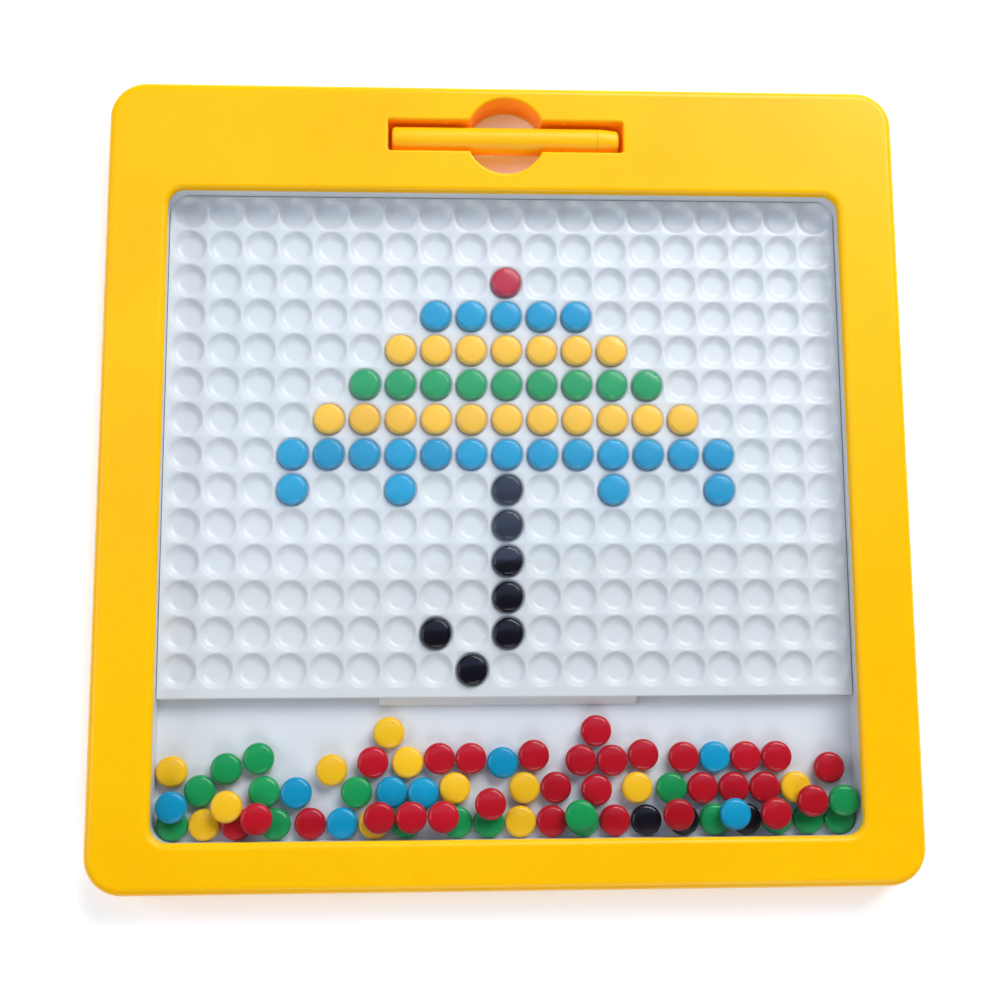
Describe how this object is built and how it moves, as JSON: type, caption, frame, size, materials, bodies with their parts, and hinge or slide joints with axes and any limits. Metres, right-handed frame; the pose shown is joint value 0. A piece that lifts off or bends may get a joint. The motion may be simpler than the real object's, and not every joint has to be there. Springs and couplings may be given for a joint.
{
  "type": "magnetic bead drawing board",
  "caption": "Square flat drawing board: a clear-covered dimple grid over a tray of loose round beads, in a moulded frame with a magnet-tipped pen stored in a slot.",
  "frame": {"origin": "bottom centre of the frame", "axes": "+Z out of the window, away from the table; +Y towards the pen slot; +X to the right when the pen slot is at the top"},
  "size_m": [0.263, 0.263, 0.015],
  "materials": {
    "frame_yellow": "smooth moulded, soft gloss",
    "shell_white": "smooth moulded, cool white",
    "cover_clear": "clear, polished",
    "board_white": "smooth moulded, cool white",
    "screw_steel": "zinc plated",
    "pen_yellow": "smooth moulded, soft gloss",
    "magnet_nickel": "nickel plated",
    "bead_red": "glossy",
    "bead_blue": "glossy",
    "bead_yellow": "glossy",
    "bead_green": "glossy",
    "bead_black": "glossy"
  },
  "bodies": {
    "case": {"front_frame": "frame_yellow", "back_shell": "shell_white", "clear_cover": "cover_clear", "dimple_board": "board_white", "case_screws": "screw_steel"},
    "pen": {"pen_barrel": "pen_yellow", "pen_tip": "pen_yellow", "pen_magnet": "magnet_nickel"},
    "bead_tip": {"bead_tip": "bead_red"},
    "bead_arc1_1": {"bead_arc1_1": "bead_blue"},
    "bead_arc1_2": {"bead_arc1_2": "bead_blue"},
    "bead_arc1_3": {"bead_arc1_3": "bead_blue"},
    "bead_arc1_4": {"bead_arc1_4": "bead_blue"},
    "bead_arc1_5": {"bead_arc1_5": "bead_blue"},
    "bead_arc2_1": {"bead_arc2_1": "bead_yellow"},
    "bead_arc2_2": {"bead_arc2_2": "bead_yellow"},
    "bead_arc2_3": {"bead_arc2_3": "bead_yellow"},
    "bead_arc2_4": {"bead_arc2_4": "bead_yellow"},
    "bead_arc2_5": {"bead_arc2_5": "bead_yellow"},
    "bead_arc2_6": {"bead_arc2_6": "bead_yellow"},
    "bead_arc2_7": {"bead_arc2_7": "bead_yellow"},
    "bead_arc3_1": {"bead_arc3_1": "bead_green"},
    "bead_arc3_2": {"bead_arc3_2": "bead_green"},
    "bead_arc3_3": {"bead_arc3_3": "bead_green"},
    "bead_arc3_4": {"bead_arc3_4": "bead_green"},
    "bead_arc3_5": {"bead_arc3_5": "bead_green"},
    "bead_arc3_6": {"bead_arc3_6": "bead_green"},
    "bead_arc3_7": {"bead_arc3_7": "bead_green"},
    "bead_arc3_8": {"bead_arc3_8": "bead_green"},
    "bead_arc3_9": {"bead_arc3_9": "bead_green"},
    "bead_arc4": {"bead_arc4": "bead_yellow"},
    "bead_arc5": {"bead_arc5": "bead_blue"},
    "bead_scallop_1": {"bead_scallop_1": "bead_blue"},
    "bead_scallop_2": {"bead_scallop_2": "bead_blue"},
    "bead_scallop_3": {"bead_scallop_3": "bead_blue"},
    "bead_scallop_4": {"bead_scallop_4": "bead_blue"},
    "bead_stem_1": {"bead_stem_1": "bead_black"},
    "bead_stem_2": {"bead_stem_2": "bead_black"},
    "bead_stem_3": {"bead_stem_3": "bead_black"},
    "bead_stem_4": {"bead_stem_4": "bead_black"},
    "bead_stem_5": {"bead_stem_5": "bead_black"},
    "bead_hook_1": {"bead_hook_1": "bead_black"},
    "bead_hook_2": {"bead_hook_2": "bead_black"},
    "loose_beads": {"tray_red": "bead_red", "tray_blue": "bead_blue", "tray_yellow": "bead_yellow", "tray_green": "bead_green", "tray_black": "bead_black"},
    "heap_beads": {"heap_red": "bead_red", "heap_blue": "bead_blue", "heap_yellow": "bead_yellow", "heap_green": "bead_green"}
  },
  "joints": [
    {"name": "pen_lift", "type": "slide", "parent": "case", "child": "pen", "axis": [0, 0, 1], "range_m": [0, 0.02]},
    {"name": "bead_tip_lift", "type": "slide", "parent": "case", "child": "bead_tip", "axis": [0, 0, 1], "range_m": [0, 0.0024]},
    {"name": "bead_arc1_1_lift", "type": "slide", "parent": "case", "child": "bead_arc1_1", "axis": [0, 0, 1], "range_m": [0, 0.0024]},
    {"name": "bead_arc1_2_lift", "type": "slide", "parent": "case", "child": "bead_arc1_2", "axis": [0, 0, 1], "range_m": [0, 0.0024]},
    {"name": "bead_arc1_3_lift", "type": "slide", "parent": "case", "child": "bead_arc1_3", "axis": [0, 0, 1], "range_m": [0, 0.0024]},
    {"name": "bead_arc1_4_lift", "type": "slide", "parent": "case", "child": "bead_arc1_4", "axis": [0, 0, 1], "range_m": [0, 0.0024]},
    {"name": "bead_arc1_5_lift", "type": "slide", "parent": "case", "child": "bead_arc1_5", "axis": [0, 0, 1], "range_m": [0, 0.0024]},
    {"name": "bead_arc2_1_lift", "type": "slide", "parent": "case", "child": "bead_arc2_1", "axis": [0, 0, 1], "range_m": [0, 0.0024]},
    {"name": "bead_arc2_2_lift", "type": "slide", "parent": "case", "child": "bead_arc2_2", "axis": [0, 0, 1], "range_m": [0, 0.0024]},
    {"name": "bead_arc2_3_lift", "type": "slide", "parent": "case", "child": "bead_arc2_3", "axis": [0, 0, 1], "range_m": [0, 0.0024]},
    {"name": "bead_arc2_4_lift", "type": "slide", "parent": "case", "child": "bead_arc2_4", "axis": [0, 0, 1], "range_m": [0, 0.0024]},
    {"name": "bead_arc2_5_lift", "type": "slide", "parent": "case", "child": "bead_arc2_5", "axis": [0, 0, 1], "range_m": [0, 0.0024]},
    {"name": "bead_arc2_6_lift", "type": "slide", "parent": "case", "child": "bead_arc2_6", "axis": [0, 0, 1], "range_m": [0, 0.0024]},
    {"name": "bead_arc2_7_lift", "type": "slide", "parent": "case", "child": "bead_arc2_7", "axis": [0, 0, 1], "range_m": [0, 0.0024]},
    {"name": "bead_arc3_1_lift", "type": "slide", "parent": "case", "child": "bead_arc3_1", "axis": [0, 0, 1], "range_m": [0, 0.0024]},
    {"name": "bead_arc3_2_lift", "type": "slide", "parent": "case", "child": "bead_arc3_2", "axis": [0, 0, 1], "range_m": [0, 0.0024]},
    {"name": "bead_arc3_3_lift", "type": "slide", "parent": "case", "child": "bead_arc3_3", "axis": [0, 0, 1], "range_m": [0, 0.0024]},
    {"name": "bead_arc3_4_lift", "type": "slide", "parent": "case", "child": "bead_arc3_4", "axis": [0, 0, 1], "range_m": [0, 0.0024]},
    {"name": "bead_arc3_5_lift", "type": "slide", "parent": "case", "child": "bead_arc3_5", "axis": [0, 0, 1], "range_m": [0, 0.0024]},
    {"name": "bead_arc3_6_lift", "type": "slide", "parent": "case", "child": "bead_arc3_6", "axis": [0, 0, 1], "range_m": [0, 0.0024]},
    {"name": "bead_arc3_7_lift", "type": "slide", "parent": "case", "child": "bead_arc3_7", "axis": [0, 0, 1], "range_m": [0, 0.0024]},
    {"name": "bead_arc3_8_lift", "type": "slide", "parent": "case", "child": "bead_arc3_8", "axis": [0, 0, 1], "range_m": [0, 0.0024]},
    {"name": "bead_arc3_9_lift", "type": "slide", "parent": "case", "child": "bead_arc3_9", "axis": [0, 0, 1], "range_m": [0, 0.0024]},
    {"name": "bead_arc4_lift", "type": "slide", "parent": "case", "child": "bead_arc4", "axis": [0, 0, 1], "range_m": [0, 0.0024]},
    {"name": "bead_arc5_lift", "type": "slide", "parent": "case", "child": "bead_arc5", "axis": [0, 0, 1], "range_m": [0, 0.0024]},
    {"name": "bead_scallop_1_lift", "type": "slide", "parent": "case", "child": "bead_scallop_1", "axis": [0, 0, 1], "range_m": [0, 0.0024]},
    {"name": "bead_scallop_2_lift", "type": "slide", "parent": "case", "child": "bead_scallop_2", "axis": [0, 0, 1], "range_m": [0, 0.0024]},
    {"name": "bead_scallop_3_lift", "type": "slide", "parent": "case", "child": "bead_scallop_3", "axis": [0, 0, 1], "range_m": [0, 0.0024]},
    {"name": "bead_scallop_4_lift", "type": "slide", "parent": "case", "child": "bead_scallop_4", "axis": [0, 0, 1], "range_m": [0, 0.0024]},
    {"name": "bead_stem_1_lift", "type": "slide", "parent": "case", "child": "bead_stem_1", "axis": [0, 0, 1], "range_m": [0, 0.0024]},
    {"name": "bead_stem_2_lift", "type": "slide", "parent": "case", "child": "bead_stem_2", "axis": [0, 0, 1], "range_m": [0, 0.0024]},
    {"name": "bead_stem_3_lift", "type": "slide", "parent": "case", "child": "bead_stem_3", "axis": [0, 0, 1], "range_m": [0, 0.0024]},
    {"name": "bead_stem_4_lift", "type": "slide", "parent": "case", "child": "bead_stem_4", "axis": [0, 0, 1], "range_m": [0, 0.0024]},
    {"name": "bead_stem_5_lift", "type": "slide", "parent": "case", "child": "bead_stem_5", "axis": [0, 0, 1], "range_m": [0, 0.0024]},
    {"name": "bead_hook_1_lift", "type": "slide", "parent": "case", "child": "bead_hook_1", "axis": [0, 0, 1], "range_m": [0, 0.0024]},
    {"name": "bead_hook_2_lift", "type": "slide", "parent": "case", "child": "bead_hook_2", "axis": [0, 0, 1], "range_m": [0, 0.0024]},
    {"name": "loose_beads_slide", "type": "slide", "parent": "case", "child": "loose_beads", "axis": [0, 1, 0], "range_m": [0, 0.002]},
    {"name": "heap_beads_lift", "type": "slide", "parent": "loose_beads", "child": "heap_beads", "axis": [0, 0, 1], "range_m": [0, 0.0007]}
  ]
}
